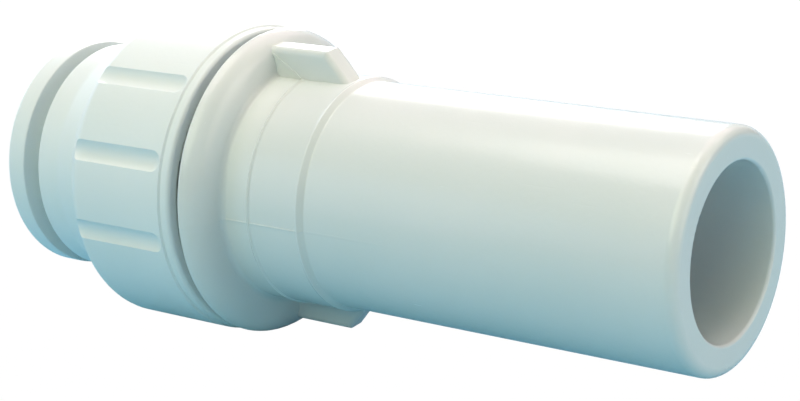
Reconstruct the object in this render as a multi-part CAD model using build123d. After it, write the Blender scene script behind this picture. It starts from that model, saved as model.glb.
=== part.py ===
from build123d import *
from math import radians, tan
import os

# Push-fit stem reducer: a 22 mm plastic stem on one end, a 15 mm push-fit tube socket on the other.
#
# The fitting's axis is X and +X points out of the free end of the stem. The origin is on that axis, at the
# shoulder inside the socket that stops the tube. The two key lugs stand up and down, along Z.
# Millimetres throughout. Every turned piece is an (x, radius) outline revolved about the X axis.

# ---- Pipe sizes ----
STEM_R = 11.0            # plugs into a 22 mm push-fit socket
STEM_BORE_R = 8.0
TUBE_BORE_R = 7.6        # accepts a 15 mm tube
WATERWAY_R = 6.7
EDGE_ROUND = 0.3         # most of the small moulded edges
FINE_ROUND = 0.15        # the sharpest of them

# ---- Stations along the axis ----
STEM_END = 51.0
STEM_END_ROUND = 1.0     # leads the stem past the seal of its socket
NECK_START = 12.5        # soft step that stops the stem at the mouth of its socket
NECK_STEP_FOOT = 12.85
NECK_LINE = 6.5          # fine ridge around the neck, where the mould's end block met its sides
FLANGE_FRONT = 3.3
FLANGE_BACK = 1.15
TUBE_STOP = 0.0
WATERWAY_END = 6.0       # the waterway widens from here
STEM_BORE_START = 12.0   # to here
SEAL_SEAT = -5.0
SPIGOT_END = -9.6

# ---- Body radii ----
NECK_R = 11.35
FLANGE_R = 15.2
FLANGE_BULGE = 3.0       # how far in from its rim the flange's front face is curved
FLANGE_FOOT_ROUND = 0.6
BEAD_HEIGHT = 0.08
RIDGE_HEIGHT = 0.15
SEAM_HEIGHT = 0.04
SEAM_WIDTH = 0.12
SPIGOT_R = 11.6
SEAL_BORE_R = 10.25

# ---- Key lugs ----
LUG_R = 14.2
LUG_WIDTH = 2.56
LUG_FLAT_END = 9.35
LUG_FOOT = 11.9
LUG_ROUND = 0.6
WITNESS_WIDTH = 0.34     # slanting ridge on each flank of a lug, from the flange down to the neck's ridge
WITNESS_HEIGHT = 0.1

# ---- Lock movement: a quarter turn of the cap moves it this far ----
LEAD = 4.4               # two-start thread
STARTS = 2
THREAD_CLEARANCE = 0.25
THREAD_INNER_END = -8.2
THREAD_OUTER_END = -1.9

# ---- Screw cap ----
CAP_RIM = -0.1
RIM_STEP = -1.1
BARREL_END = -12.2
SHOULDER = (-15.1, 12.6)
NOSE_START = -18.0
NOSE_END = -20.85
CAP_EDGE_ROUND = 0.4     # at the rim and around the collet's way in
SHOULDER_ROUND = 1.2     # the shoulder's sloping face blends into the barrel and the nose's root
NOSE_ROOT_ROUND = 2.0
RIM_R = 15.1
BARREL_R = 15.3
MOUTH_R = 14.0           # clears the flange's root and leads the thread in
MOUTH_DEPTH = 1.0
NOSE_R = 11.7
NOSE_BORE_R = 9.3
CAP_SEAT = -11.9
CAP_BORE_R = 12.75
CHAMBER_R = 10.9
CAM_START = -13.9
CAM_END = -17.5

# ---- Grip flutes: two groups of three, centred on the +Y and -Y sides ----
FLUTE_ANGLES = [22.7 + step for step in (-30.0, 0.0, 30.0)]
FLUTE_CUTTER_R = 1.3
FLUTE_DEPTH = 0.55
FLUTE_END = -1.35
FLUTE_OPEN_END = -16.2   # past the barrel's edge, over the shoulder

# ---- Spacer washer and O-ring ----
RING_BORE_R = 7.7
SPACER_SKIRT_END = -8.95
SPACER_FLANGE_FRONT = -10.8
SPACER_FLANGE_BACK = -11.8
SPACER_SKIRT_R = 10.1
SPACER_FLANGE_R = 11.45
SEAL_SECTION_R = 1.325
SEAL_BORE_R_FREE = 7.55
SEAL_CENTRE = SEAL_SEAT - SEAL_SECTION_R - 0.05

# ---- Collet ----
COLLET_TIP = -14.1
HEAD_END = -15.0
HEAD_TAPER_END = -16.4
SHANK_R = 9.15
HEAD_R = 10.3
COLLET_BORE_R = 7.65
COLLET_FLANGE_FRONT = -22.7
COLLET_FLANGE_BACK = -25.1
COLLET_FLANGE_R = 11.8
COLLET_FOOT_ROUND = 0.4
COLLET_BACK_ROUND = 0.5
COLLET_TIP_CHAMFER = 0.5
TUBE_LEAD_DEPTH = 1.2    # the flared mouth that the tube enters
TUBE_LEAD = 0.5
FINGERS = 8
SLOT_WIDTH = 0.9
SLOT_END = -19.6

# ---- Teeth: one bent steel blade in each finger, raked towards the tube stop ----
TOOTH_THICKNESS = 0.4
TOOTH_WIDTH = 2.6
TOOTH_TIP_R = 7.58
TOOTH_ROOT_R = 9.5
TOOTH_TIP_X = -14.55
TOOTH_RAKE = 35.0
TOOTH_PLAY = 0.02


def turned(outline, rounds=()):
    """Revolve an (x, radius) outline about the axis, after rounding the corners named in rounds."""
    face = make_face(Polyline(*outline, close=True))
    for corner, radius in rounds:
        nearest = face.vertices().sort_by_distance(Vector(*corner))[0]
        face = fillet(nearest, radius)
    return revolve(face, Axis.X)


def about_axis(shape, angle):
    """Turn a shape about the fitting's axis; 0 is +Y and 90 is +Z."""
    return shape.rotate(Axis.X, angle)


def thread_ridge(root_r, crest_r, start_x, end_x, angle):
    """One start of the lock thread, a trapezoid rib between two radii."""
    root_half, crest_half = 0.6, 0.3
    inward = 1 if crest_r < root_r else -1
    buried_r = root_r + 0.3 * inward
    path = Helix(LEAD, end_x - start_x, buried_r, center=(start_x, 0, 0), direction=(1, 0, 0))
    section_plane = Plane(origin=path @ 0, x_dir=Vector(0, (path @ 0).Y, (path @ 0).Z), z_dir=path % 0)
    depth = crest_r - buried_r
    section = section_plane * make_face(
        Polyline((0, -root_half), (depth, -crest_half), (depth, crest_half), (0, root_half), close=True)
    )
    return about_axis(sweep(section, path=path, is_frenet=True), angle)


def key_lug():
    """The upper of the two key lugs on the neck: flat top, sloping toe, softened edges."""
    side = Plane.XZ * make_face(
        Polyline(
            (FLANGE_BACK + 0.5, NECK_R - 1.0),
            (FLANGE_BACK + 0.5, LUG_R),
            (LUG_FLAT_END, LUG_R),
            (LUG_FOOT, NECK_R - 0.2),
            (LUG_FOOT, NECK_R - 1.0),
            close=True,
        )
    )
    lug = extrude(side, LUG_WIDTH / 2, both=True)
    crown = lug.edges().filter_by(Axis.X).group_by(Axis.Z)[-1]
    toe = lug.edges().filter_by(lambda edge: edge.center().X > LUG_FLAT_END and edge.center().Z > NECK_R)
    lug = fillet(crown + toe, LUG_ROUND)
    witness = Plane.XZ * make_face(
        Polyline(
            (FLANGE_FRONT - 0.5, LUG_R - LUG_ROUND),
            (FLANGE_FRONT - 0.5 + WITNESS_WIDTH, LUG_R - LUG_ROUND),
            (NECK_LINE + WITNESS_WIDTH, NECK_R - 0.2),
            (NECK_LINE, NECK_R - 0.2),
            close=True,
        )
    )
    return lug + extrude(witness, LUG_WIDTH / 2 + WITNESS_HEIGHT, both=True)


def mould_lines():
    """Fine witness ridges where the two halves of the mould met, along both sides of the neck."""
    outline = [
        (NECK_START - 0.5, NECK_R - 1.0),
        (NECK_START - 0.5, NECK_R + SEAM_HEIGHT),
        (FLANGE_FRONT, NECK_R + SEAM_HEIGHT),
        (FLANGE_FRONT, NECK_R - 1.0),
    ]
    return turned(outline) & Box(100, 100, SEAM_WIDTH)


def flange():
    """Collar that the cap closes on: flat back, front face curved over to the rim as a quarter ellipse."""
    centre = (FLANGE_BACK, FLANGE_R - FLANGE_BULGE)
    bulge = EllipticalCenterArc(centre, FLANGE_FRONT - FLANGE_BACK, FLANGE_BULGE, arc_size=90)
    inner_r = NECK_R - 1.0
    sides = Polyline(bulge @ 1, (FLANGE_BACK, inner_r), (FLANGE_FRONT, inner_r), bulge @ 0)
    face = make_face([bulge, sides])
    rim = face.vertices().sort_by_distance(Vector(FLANGE_BACK, FLANGE_R))[0]
    return revolve(fillet(rim, FINE_ROUND), Axis.X)


def body():
    """Stem, neck, flange and threaded spigot in one moulding, with the tube socket inside."""
    outline = [
        (STEM_END, STEM_BORE_R),
        (STEM_END, STEM_R),
        (NECK_STEP_FOOT, STEM_R),
        (NECK_START - 0.2, NECK_R + BEAD_HEIGHT),
        (NECK_START - 0.5, NECK_R),
        (NECK_LINE + 0.2, NECK_R),
        (NECK_LINE, NECK_R + RIDGE_HEIGHT),
        (NECK_LINE - 0.2, NECK_R),
        (FLANGE_FRONT, NECK_R),
        (FLANGE_FRONT, FLANGE_R - FLANGE_BULGE),
        (FLANGE_BACK, FLANGE_R - FLANGE_BULGE),
        (FLANGE_BACK, SPIGOT_R),
        (SPIGOT_END, SPIGOT_R),
        (SPIGOT_END, SEAL_BORE_R),
        (SEAL_SEAT, SEAL_BORE_R),
        (SEAL_SEAT, TUBE_BORE_R),
        (TUBE_STOP, TUBE_BORE_R),
        (TUBE_STOP, WATERWAY_R),
        (WATERWAY_END, WATERWAY_R),
        (STEM_BORE_START, STEM_BORE_R),
    ]
    rounds = [
        ((STEM_END, STEM_BORE_R), EDGE_ROUND),
        ((STEM_END, STEM_R), STEM_END_ROUND),
        ((NECK_STEP_FOOT, STEM_R), EDGE_ROUND),
        ((NECK_START - 0.2, NECK_R + BEAD_HEIGHT), FINE_ROUND),
        ((FLANGE_FRONT, NECK_R), FLANGE_FOOT_ROUND),
        ((SPIGOT_END, SPIGOT_R), EDGE_ROUND),
        ((SPIGOT_END, SEAL_BORE_R), EDGE_ROUND),
    ]
    moulding = turned(outline, rounds) + flange()
    lug = key_lug()
    moulding += [lug, about_axis(lug, 180)]
    moulding += mould_lines()
    crest_r = CAP_BORE_R - THREAD_CLEARANCE
    for start in range(STARTS):
        angle = 360 * start / STARTS
        moulding += thread_ridge(SPIGOT_R, crest_r, THREAD_INNER_END, THREAD_OUTER_END, angle)
    return moulding


def screw_cap():
    """Lock cap: fluted barrel, shoulder and nose outside, thread and collet cam inside."""
    outline = [
        (CAP_RIM, MOUTH_R),
        (CAP_RIM, RIM_R),
        (RIM_STEP, RIM_R),
        (RIM_STEP - 0.15, BARREL_R),
        (BARREL_END, BARREL_R),
        SHOULDER,
        (NOSE_START, NOSE_R),
        (NOSE_END, NOSE_R),
        (NOSE_END, NOSE_BORE_R),
        (CAM_END, NOSE_BORE_R),
        (CAM_START, CHAMBER_R),
        (CAP_SEAT, CHAMBER_R),
        (CAP_SEAT, CAP_BORE_R),
        (CAP_RIM - MOUTH_DEPTH, CAP_BORE_R),
        (CAP_RIM - MOUTH_DEPTH, MOUTH_R),
    ]
    rounds = [
        ((CAP_RIM, RIM_R), CAP_EDGE_ROUND),
        ((BARREL_END, BARREL_R), SHOULDER_ROUND),
        (SHOULDER, SHOULDER_ROUND),
        ((NOSE_START, NOSE_R), NOSE_ROOT_ROUND),
        ((NOSE_END, NOSE_R), EDGE_ROUND),
        ((NOSE_END, NOSE_BORE_R), CAP_EDGE_ROUND),
    ]
    cap = turned(outline, rounds)
    crest_r = SPIGOT_R + THREAD_CLEARANCE
    half_pitch_angle = 180 / STARTS
    for start in range(STARTS):
        angle = half_pitch_angle + 360 * start / STARTS
        cap += thread_ridge(CAP_BORE_R, crest_r, THREAD_INNER_END, THREAD_OUTER_END, angle)
    flute = grip_flute()
    for side in (0, 180):
        for angle in FLUTE_ANGLES:
            cap -= about_axis(flute, side - angle)
    return cap


def grip_flute():
    """Cutter for one flute, a round-bottomed channel open at the shoulder and closed near the rim."""
    axis_r = BARREL_R + FLUTE_CUTTER_R - FLUTE_DEPTH
    reach = (FLUTE_CUTTER_R**2 - (axis_r - BARREL_R) ** 2) ** 0.5
    closed_end = FLUTE_END - reach
    length = closed_end - FLUTE_OPEN_END
    channel = Pos(closed_end - length / 2, axis_r, 0) * Rot(0, 90, 0) * Cylinder(FLUTE_CUTTER_R, length)
    return channel + Pos(closed_end, axis_r, 0) * Sphere(FLUTE_CUTTER_R)


def o_ring():
    """Seal in the bottom of the socket, drawn just clear of its seat."""
    centre_r = SEAL_BORE_R_FREE + SEAL_SECTION_R
    section = Pos(SEAL_CENTRE, centre_r) * Circle(SEAL_SECTION_R)
    return revolve(section, Axis.X)


def spacer_washer():
    """Stepped washer that the cap pushes towards the O-ring when it is turned to lock."""
    outline = [
        (SPACER_SKIRT_END, RING_BORE_R),
        (SPACER_SKIRT_END, SPACER_SKIRT_R),
        (SPACER_FLANGE_FRONT, SPACER_SKIRT_R),
        (SPACER_FLANGE_FRONT, SPACER_FLANGE_R),
        (SPACER_FLANGE_BACK, SPACER_FLANGE_R),
        (SPACER_FLANGE_BACK, RING_BORE_R),
    ]
    rounds = [
        ((SPACER_SKIRT_END, RING_BORE_R), EDGE_ROUND),
        ((SPACER_SKIRT_END, SPACER_SKIRT_R), EDGE_ROUND),
    ]
    return turned(outline, rounds)


def tooth_blade(play=0.0):
    """Blade in the +Y finger, raked from its root in the finger down to a sharp tip at the tube."""
    run = (TOOTH_ROOT_R - TOOTH_TIP_R) * tan(radians(TOOTH_RAKE))
    heel = TOOTH_THICKNESS + 2 * play
    tip_x = TOOTH_TIP_X + play
    side = make_face(
        Polyline(
            (tip_x, TOOTH_TIP_R),
            (tip_x - run, TOOTH_ROOT_R + play),
            (tip_x - run - heel, TOOTH_ROOT_R + play),
            (tip_x - heel - 0.1, TOOTH_TIP_R + 0.25),
            close=True,
        )
    )
    return extrude(side, TOOTH_WIDTH / 2 + play, both=True)


def finger_angles():
    return [360 * (index + 0.5) / FINGERS for index in range(FINGERS)]


def collet():
    """Slotted gripping sleeve with a release flange; each finger has a pocket for its tooth."""
    head_slope = (CHAMBER_R - NOSE_BORE_R) / (CAM_START - CAM_END)
    outline = [
        (COLLET_TIP, COLLET_BORE_R + COLLET_TIP_CHAMFER),
        (COLLET_TIP, HEAD_R),
        (HEAD_END, HEAD_R),
        (HEAD_TAPER_END, HEAD_R - head_slope * (HEAD_END - HEAD_TAPER_END)),
        (HEAD_TAPER_END - 0.2, SHANK_R),
        (COLLET_FLANGE_FRONT, SHANK_R),
        (COLLET_FLANGE_FRONT, COLLET_FLANGE_R),
        (COLLET_FLANGE_BACK, COLLET_FLANGE_R),
        (COLLET_FLANGE_BACK, COLLET_BORE_R + TUBE_LEAD),
        (COLLET_FLANGE_BACK + TUBE_LEAD_DEPTH, COLLET_BORE_R),
        (COLLET_TIP - COLLET_TIP_CHAMFER, COLLET_BORE_R),
    ]
    rounds = [
        ((COLLET_TIP, HEAD_R), EDGE_ROUND),
        ((COLLET_FLANGE_FRONT, SHANK_R), COLLET_FOOT_ROUND),
        ((COLLET_FLANGE_FRONT, COLLET_FLANGE_R), FINE_ROUND),
        ((COLLET_FLANGE_BACK, COLLET_FLANGE_R), COLLET_BACK_ROUND),
    ]
    sleeve = turned(outline, rounds)
    slot_length = COLLET_TIP - SLOT_END
    slot = Pos(COLLET_TIP - slot_length / 2 + 0.5, HEAD_R - 1.5, 0) * Box(slot_length + 1, 5, SLOT_WIDTH)
    pocket = tooth_blade(TOOTH_PLAY)
    for index, angle in enumerate(finger_angles()):
        sleeve -= about_axis(slot, 360 * index / FINGERS)
        sleeve -= about_axis(pocket, angle)
    return sleeve


def write(name, shape):
    export_step(shape, f"parts/{name}.step")


os.makedirs("parts", exist_ok=True)
write("body", body())
write("screw_cap", screw_cap())
write("o_ring", o_ring())
write("spacer_washer", spacer_washer())
write("collet", collet())
for number, angle in enumerate(finger_angles(), start=1):
    write(f"tooth_{number}", about_axis(tooth_blade(), angle))
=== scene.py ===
# %% [markdown]
# # A push-fit stem reducer in white acetal
#
# The fitting is one slim stem, a flange with two key lugs, a fluted lock cap and a release collet.
# Its shapes are all turned or moulded to exact sizes, so they come ready from the CAD frame and stay as
# they are. A softened copy of them would only lose the sharp gap and the fine mould lines.
#
# What this lesson adds is what a CAD part lacks: the plastic itself, the light that shows its
# roundness, and the camera. Lengths are in metres, and the fitting's axis is the X axis.

# %% Load the frame
import math

import bpy
from mathutils import Matrix, Vector

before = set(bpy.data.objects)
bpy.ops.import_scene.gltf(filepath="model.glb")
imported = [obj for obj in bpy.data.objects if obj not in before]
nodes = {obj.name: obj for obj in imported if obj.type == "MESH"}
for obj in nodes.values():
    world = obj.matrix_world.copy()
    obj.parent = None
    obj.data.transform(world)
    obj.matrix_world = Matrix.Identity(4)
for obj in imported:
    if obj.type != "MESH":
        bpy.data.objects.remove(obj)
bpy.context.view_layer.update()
MM = 0.001
print("CAD nodes:", sorted(nodes))

# %% [markdown]
# ## Shader maths as Python expressions
#
# A finish is easier to read as `base * (1 - 0.03 * mottle)` than as a web of Math nodes. The class
# below wraps one output of a node, and each operator adds the Math node that does its work. Colours
# go through a Mix node instead, because a Math node would turn them grey.

# %% Wrap a node's output
class Field:
    """A value that varies over a surface, and can be used in a sum."""

    def __init__(self, finish, socket):
        self.finish = finish
        self.socket = socket

    def maths(self, operation, *values):
        return self.finish.node("ShaderNodeMath", {"operation": operation}, values)

    def __add__(self, other):
        return self.maths("ADD", self, other)

    def __radd__(self, other):
        return self.maths("ADD", other, self)

    def __sub__(self, other):
        return self.maths("SUBTRACT", self, other)

    def __rsub__(self, other):
        return self.maths("SUBTRACT", other, self)

    def __mul__(self, other):
        return self.maths("MULTIPLY", self, other)

    def __rmul__(self, other):
        return self.maths("MULTIPLY", other, self)

    def unsigned(self):
        """The value without its sign."""
        return self.maths("ABSOLUTE", self)

    def ramp(self, low, high):
        """0 below low, 1 above high, and smooth between them."""
        settings = {"interpolation_type": "SMOOTHSTEP"}
        inputs = {"Value": self, "From Min": low, "From Max": high}
        return self.finish.node("ShaderNodeMapRange", settings, inputs)


# %% [markdown]
# ## One class for a finish
#
# Every finish here is a Principled shader whose colour, roughness and normal carry the small faults of
# a real surface. Numbers that are the same all over go straight on the shader's sockets.

# %% Build a finish
class Finish:
    """A material made of nodes, built up by expressions on Field."""

    def __init__(self, name, **constants):
        self.material = bpy.data.materials.new(name)
        self.material.use_nodes = True
        self.tree = self.material.node_tree
        self.shader = self.tree.nodes["Principled BSDF"]
        for socket, value in constants.items():
            self.shader.inputs[socket.replace("_", " ")].default_value = value

    def node(self, kind, settings=None, inputs=(), output=0):
        made = self.tree.nodes.new(kind)
        for name, value in (settings or {}).items():
            setattr(made, name, value)
        pairs = inputs.items() if isinstance(inputs, dict) else enumerate(inputs)
        for key, value in pairs:
            self.feed(made.inputs[key], value)
        return Field(self, made.outputs[output])

    def feed(self, socket, value):
        if isinstance(value, Field):
            self.tree.links.new(value.socket, socket)
        else:
            socket.default_value = value

    def where(self, stretch=(1, 1, 1)):
        """Object coordinates, squeezed along an axis where a pattern runs long."""
        place = self.node("ShaderNodeTexCoord", output="Object")
        if stretch == (1, 1, 1):
            return place
        return self.node("ShaderNodeMapping", {}, {"Vector": place, "Scale": stretch})

    def along(self, axis):
        """One object coordinate, in metres: X runs along the fitting, from the tube stop to the stem."""
        return self.node("ShaderNodeSeparateXYZ", {}, [self.where()], output="XYZ".index(axis))

    def noise(self, size, detail=2.0, stretch=(1, 1, 1)):
        """Cloudy noise from 0 to 1 whose lumps are about size across."""
        inputs = {"Vector": self.where(stretch), "Scale": 1 / size, "Detail": detail}
        return self.node("ShaderNodeTexNoise", {}, inputs)

    def blend(self, mask, first, second):
        """A colour between two colours."""
        inputs = {0: mask, 6: first, 7: second}
        return self.node("ShaderNodeMix", {"data_type": "RGBA"}, inputs, output=2)

    def drive(self, **values):
        for socket, value in values.items():
            self.feed(self.shader.inputs[socket.replace("_", " ")], value)

    def bump(self, height, distance):
        """Lean the surface by a height field, in metres."""
        self.drive(Normal=self.node("ShaderNodeBump", {}, {"Height": height, "Distance": distance}))


# %% [markdown]
# ## Moulded white acetal
#
# Acetal is dense, slightly waxy and a little translucent, so light sinks in by about a millimetre. It
# isn't polished: the tool steel leaves a fine orange peel, flow leaves faint clouds, and handling leaves
# hair-fine scuffs that only the highlights show. All three are far smaller than the fitting, so they
# change roughness and the normal much more than colour.
#
# The two halves of the mould leave a parting line along the sides. On the neck it is a real ridge in the
# CAD model. On the stem it is dressed down until it is too fine to model and then fades out, so
# there it is only a line in the height field.

# %% Acetal finish
def acetal(name, colour, shade, roughness, scuff_axis, parting_line=False):
    finish = Finish(name, Specular_IOR_Level=0.5, IOR=1.48, Subsurface_Weight=0.12, Subsurface_Scale=0.0012)
    finish.shader.inputs["Subsurface Radius"].default_value = (1.0, 0.9, 0.75)
    clouds = finish.noise(14 * MM, 3.0).ramp(0.35, 0.65)
    peel = finish.noise(0.55 * MM, 2.0)
    scuff_stretch = tuple(0.06 if axis == scuff_axis else 1.0 for axis in "XYZ")
    scuffs = finish.noise(0.35 * MM, 4.0, scuff_stretch).ramp(0.62, 0.74)
    patches = finish.noise(6 * MM, 2.0).ramp(0.45, 0.7)
    wear = scuffs * patches
    height = peel * 0.8 - wear * 0.5
    if parting_line:
        line = 1 - finish.along("Z").unsigned().ramp(0.04 * MM, 0.14 * MM)
        fade = 1 - finish.along("X").ramp(17 * MM, 24 * MM)
        height = height + line * fade
    finish.drive(
        Base_Color=finish.blend(clouds, colour, shade),
        Roughness=roughness + 0.05 * peel + 0.12 * wear,
    )
    finish.bump(height, 0.012 * MM)
    return finish.material


# %% [markdown]
# ## Two whites
#
# The cap and collet are moulded apart from the body; their brighter, cooler white paints in the light
# that falls brighter and cooler on the collet end. The body is the glossiest, because its stem has to
# slide through a seal. The washer hides inside the cap and keeps the dull face of its tool.

# %% Mix the whites
WHITE = (0.80, 0.835, 0.815, 1.0)
WHITE_SHADE = (0.775, 0.82, 0.80, 1.0)
# Painted light: the cap and collet white is brighter and cooler than the body's, to paint in the brighter,
# cooler light on the collet end.
COOL_WHITE_WITH_PAINTED_LIGHT = (0.84, 0.90, 0.885, 1.0)
COOL_CLOUD_WITH_PAINTED_LIGHT = (0.82, 0.885, 0.87, 1.0)
body_acetal = acetal("body_acetal", WHITE, WHITE_SHADE, 0.17, "X", parting_line=True)
cap_acetal = acetal("cap_acetal", COOL_WHITE_WITH_PAINTED_LIGHT, COOL_CLOUD_WITH_PAINTED_LIGHT, 0.38, "X")
collet_acetal = acetal("collet_acetal", COOL_WHITE_WITH_PAINTED_LIGHT, COOL_CLOUD_WITH_PAINTED_LIGHT, 0.38, "Y")
washer_acetal = acetal("washer_acetal", WHITE_SHADE, WHITE_SHADE, 0.45, "Y")
print("whites:", body_acetal.name, cap_acetal.name, collet_acetal.name, washer_acetal.name)

# %% [markdown]
# ## Black seal rubber
#
# The O-ring is cured rubber with a trace of grease: nearly black, with a soft, uneven sheen.

# %% Rubber finish
def seal_rubber():
    finish = Finish("seal_rubber", Specular_IOR_Level=0.4)
    grease = finish.noise(2.5 * MM, 2.0).ramp(0.4, 0.65)
    grain = finish.noise(0.12 * MM, 3.0)
    finish.drive(
        Base_Color=finish.blend(grease, (0.018, 0.018, 0.019, 1), (0.028, 0.027, 0.026, 1)),
        Roughness=0.55 - 0.2 * grease + 0.08 * grain,
    )
    finish.bump(grain, 0.01 * MM)
    return finish.material


# %% [markdown]
# ## Stamped stainless steel
#
# Each tooth is stamped from strip, so its faces keep the strip's rolling lines, which run across it.

# %% Steel finish
def tooth_steel():
    finish = Finish("tooth_steel", Metallic=1.0)
    rolling = finish.noise(0.08 * MM, 3.0, (1.0, 1.0, 0.08))
    stain = finish.noise(0.8 * MM, 2.0).ramp(0.4, 0.7)
    finish.drive(
        Base_Color=finish.blend(stain, (0.62, 0.62, 0.60, 1), (0.52, 0.52, 0.51, 1)),
        Roughness=0.26 + 0.18 * rolling,
    )
    finish.bump(rolling, 0.004 * MM)
    return finish.material


# %% [markdown]
# ## Finish for every node
#
# Each CAD node is one piece of one plastic, so one material slot is enough. The eight teeth share the
# steel, so any node without a finish of its own is a tooth.

# %% Give each CAD node its finish
finishes = {
    "body": body_acetal,
    "screw_cap": cap_acetal,
    "collet": collet_acetal,
    "spacer_washer": washer_acetal,
    "o_ring": seal_rubber(),
}
steel = tooth_steel()
for name, node in nodes.items():
    node.data.materials.clear()
    node.data.materials.append(finishes.get(name, steel))
print("finished nodes:", len(nodes), "of which teeth:", len(nodes) - len(finishes))

# %% [markdown]
# ## Floor
#
# The fitting is shown cut out on plain white, so the floor glows evenly instead of taking light: nothing
# on it casts a shadow, and it throws no light back. The white plastic is lit apart from it.

# %% Lay the floor
FLOOR_DROP = 45 * MM
FLOOR_SIZE = 6.0
bpy.ops.mesh.primitive_plane_add(size=FLOOR_SIZE, location=(0, 0, -FLOOR_DROP))
floor = bpy.context.object
floor.name = "studio_floor"
floor_finish = Finish("pale_floor", Roughness=0.8, Emission_Strength=1.0)
floor_finish.drive(Base_Color=(0, 0, 0, 1), Emission_Color=(1, 1, 1, 1))
floor.data.materials.append(floor_finish.material)
floor.visible_diffuse = False
floor.visible_glossy = False
floor.visible_shadow = False
print("floor:", floor.name, "lies", FLOOR_DROP, "m below the axis")

# %% [markdown]
# ## Blue card
#
# The undersides of the stem and cap are blue, and they darken towards the flange and the lug, which
# nearly touch what they lie on. A dull blue card just under the flange does both: it throws blue
# light up, and shades whatever comes close to it. The camera looks through it to the floor.

# %% Lay the blue card
CARD_DROP = 15.5 * MM
CARD_SIZE = 0.6
bpy.ops.mesh.primitive_plane_add(size=CARD_SIZE, location=(0, 0, -CARD_DROP))
card = bpy.context.object
card.name = "blue_card"
card.visible_camera = False
card_finish = Finish("blue_card", Roughness=1.0, Specular_IOR_Level=0.0)
card_finish.drive(Base_Color=(0.23, 0.50, 0.65, 1))
card.data.materials.append(card_finish.material)
print("card:", card.name, "lies", CARD_DROP, "m below the axis")

# %% [markdown]
# ## Soft lights
#
# White plastic on white has almost no outline, so the light has to draw it. In a studio that is done
# with large softboxes, and a sun lamp with a very wide disc stands in for one: its light comes
# from the same side everywhere, and it is bright without being near.

# %% Make a softbox
WIDE = 45


def soft_light(name, azimuth, elevation, strength, colour, width=WIDE):
    """A broad, far softbox; azimuth 0 is +X, 90 is +Y, and elevation is above the horizon, in degrees."""
    light = bpy.data.lights.new(name, "SUN")
    light.angle = math.radians(width)
    light.energy = strength
    light.color = colour
    holder = bpy.data.objects.new(name, light)
    bpy.context.scene.collection.objects.link(holder)
    away = Vector((1, 0, 0))
    away.rotate(Matrix.Rotation(math.radians(-elevation), 3, "Y"))
    away.rotate(Matrix.Rotation(math.radians(azimuth), 3, "Z"))
    holder.rotation_euler = (-away).to_track_quat("-Z", "Y").to_euler()
    print("softbox:", name, "at azimuth", azimuth, "elevation", elevation)
    return holder


# %% [markdown]
# ## Surround the fitting
#
# The overhead box burns out the top of the stem, and the key fills the side that faces the camera. The
# boxes behind keep the upper edges white, and the low ones at the two ends pick out the bore, the
# end face and the rim of the collet. The tints are warm from the front and cool from the left.

# %% Light the top and the front
soft_light("overhead", 180, 80, 1.56, (1.0, 0.94, 0.89))
soft_light("key_front", 270, 45, 1.20, (0.98, 1.0, 0.74))

# %% Light the far side
soft_light("back", 90, 45, 0.70, (1.0, 0.76, 0.90))
back_left = soft_light("back_left", 135, 45, 0.65, (0.80, 0.80, 1.0))
back_left.visible_glossy = False
soft_light("back_low", 112, 10, 0.31, (0.76, 0.92, 1.0))

# %% Light both ends
soft_light("end_high", 40, 30, 0.40, (1.0, 0.96, 0.88))
soft_light("end_back", 18, 10, 0.96, (1.0, 0.92, 0.78))
soft_light("end_front", 325, 15, 0.22, (1.0, 0.84, 1.0))
soft_light("left_back", 158, 10, 0.88, (0.72, 0.84, 1.0))
soft_light("left_front", 220, 10, 0.55, (0.60, 0.76, 1.0))

# %% [markdown]
# ## Sheen on the stem
#
# The stem's long white highlight has a firm lower edge, because it mirrors the edge of a box behind the
# stem. That box is narrower than the rest, and it is left out of diffuse light, so it only adds
# the reflection. The high box behind the collet is hidden from reflections in turn, or it would
# blur that edge.

# %% Mirror a strip of light
sheen = soft_light("sheen", 128, 17, 1.2, (1.0, 1.0, 1.0), width=30)
sheen.visible_diffuse = False

# %% [markdown]
# ## Dark surroundings
#
# With a black world nothing but the boxes and the blue card lights the plastic, so the inside of the
# bore and the gap behind the flange stay dark.

# %% Darken the world
world = bpy.data.worlds.new("studio_world")
world.use_nodes = True
world.node_tree.nodes["Background"].inputs["Color"].default_value = (0, 0, 0, 1)
bpy.context.scene.world = world

# %% [markdown]
# ## Camera
#
# The fitting is small, so even a short telephoto lens stands close to it, and the near end of the stem
# looks clearly larger than the collet. The camera looks down from the stem's side, leaning a little.

# %% Place the camera
LENS = 87.88
CAMERA_PLACE = (0.121396, -0.141209, 0.060433)
LOOKS_ALONG = (-0.56593, 0.75777, -0.32483)
LEANS_TO = (-0.13098, 0.30635, 0.94286)
camera = bpy.data.cameras.new("camera")
camera.sensor_width = 36.0
camera.lens = LENS
camera.clip_start = 0.01
camera_holder = bpy.data.objects.new("camera", camera)
bpy.context.scene.collection.objects.link(camera_holder)
forward = Vector(LOOKS_ALONG).normalized()
upward = Vector(LEANS_TO)
right = forward.cross(upward).normalized()
upward = right.cross(forward)
turn = Matrix((right, upward, -forward)).transposed().to_4x4()
camera_holder.matrix_world = Matrix.Translation(CAMERA_PLACE) @ turn
bpy.context.scene.camera = camera_holder
bpy.context.scene.view_settings.view_transform = "Standard"
print("camera:", camera.lens, "mm lens,", round(camera_holder.location.length, 3), "m away")
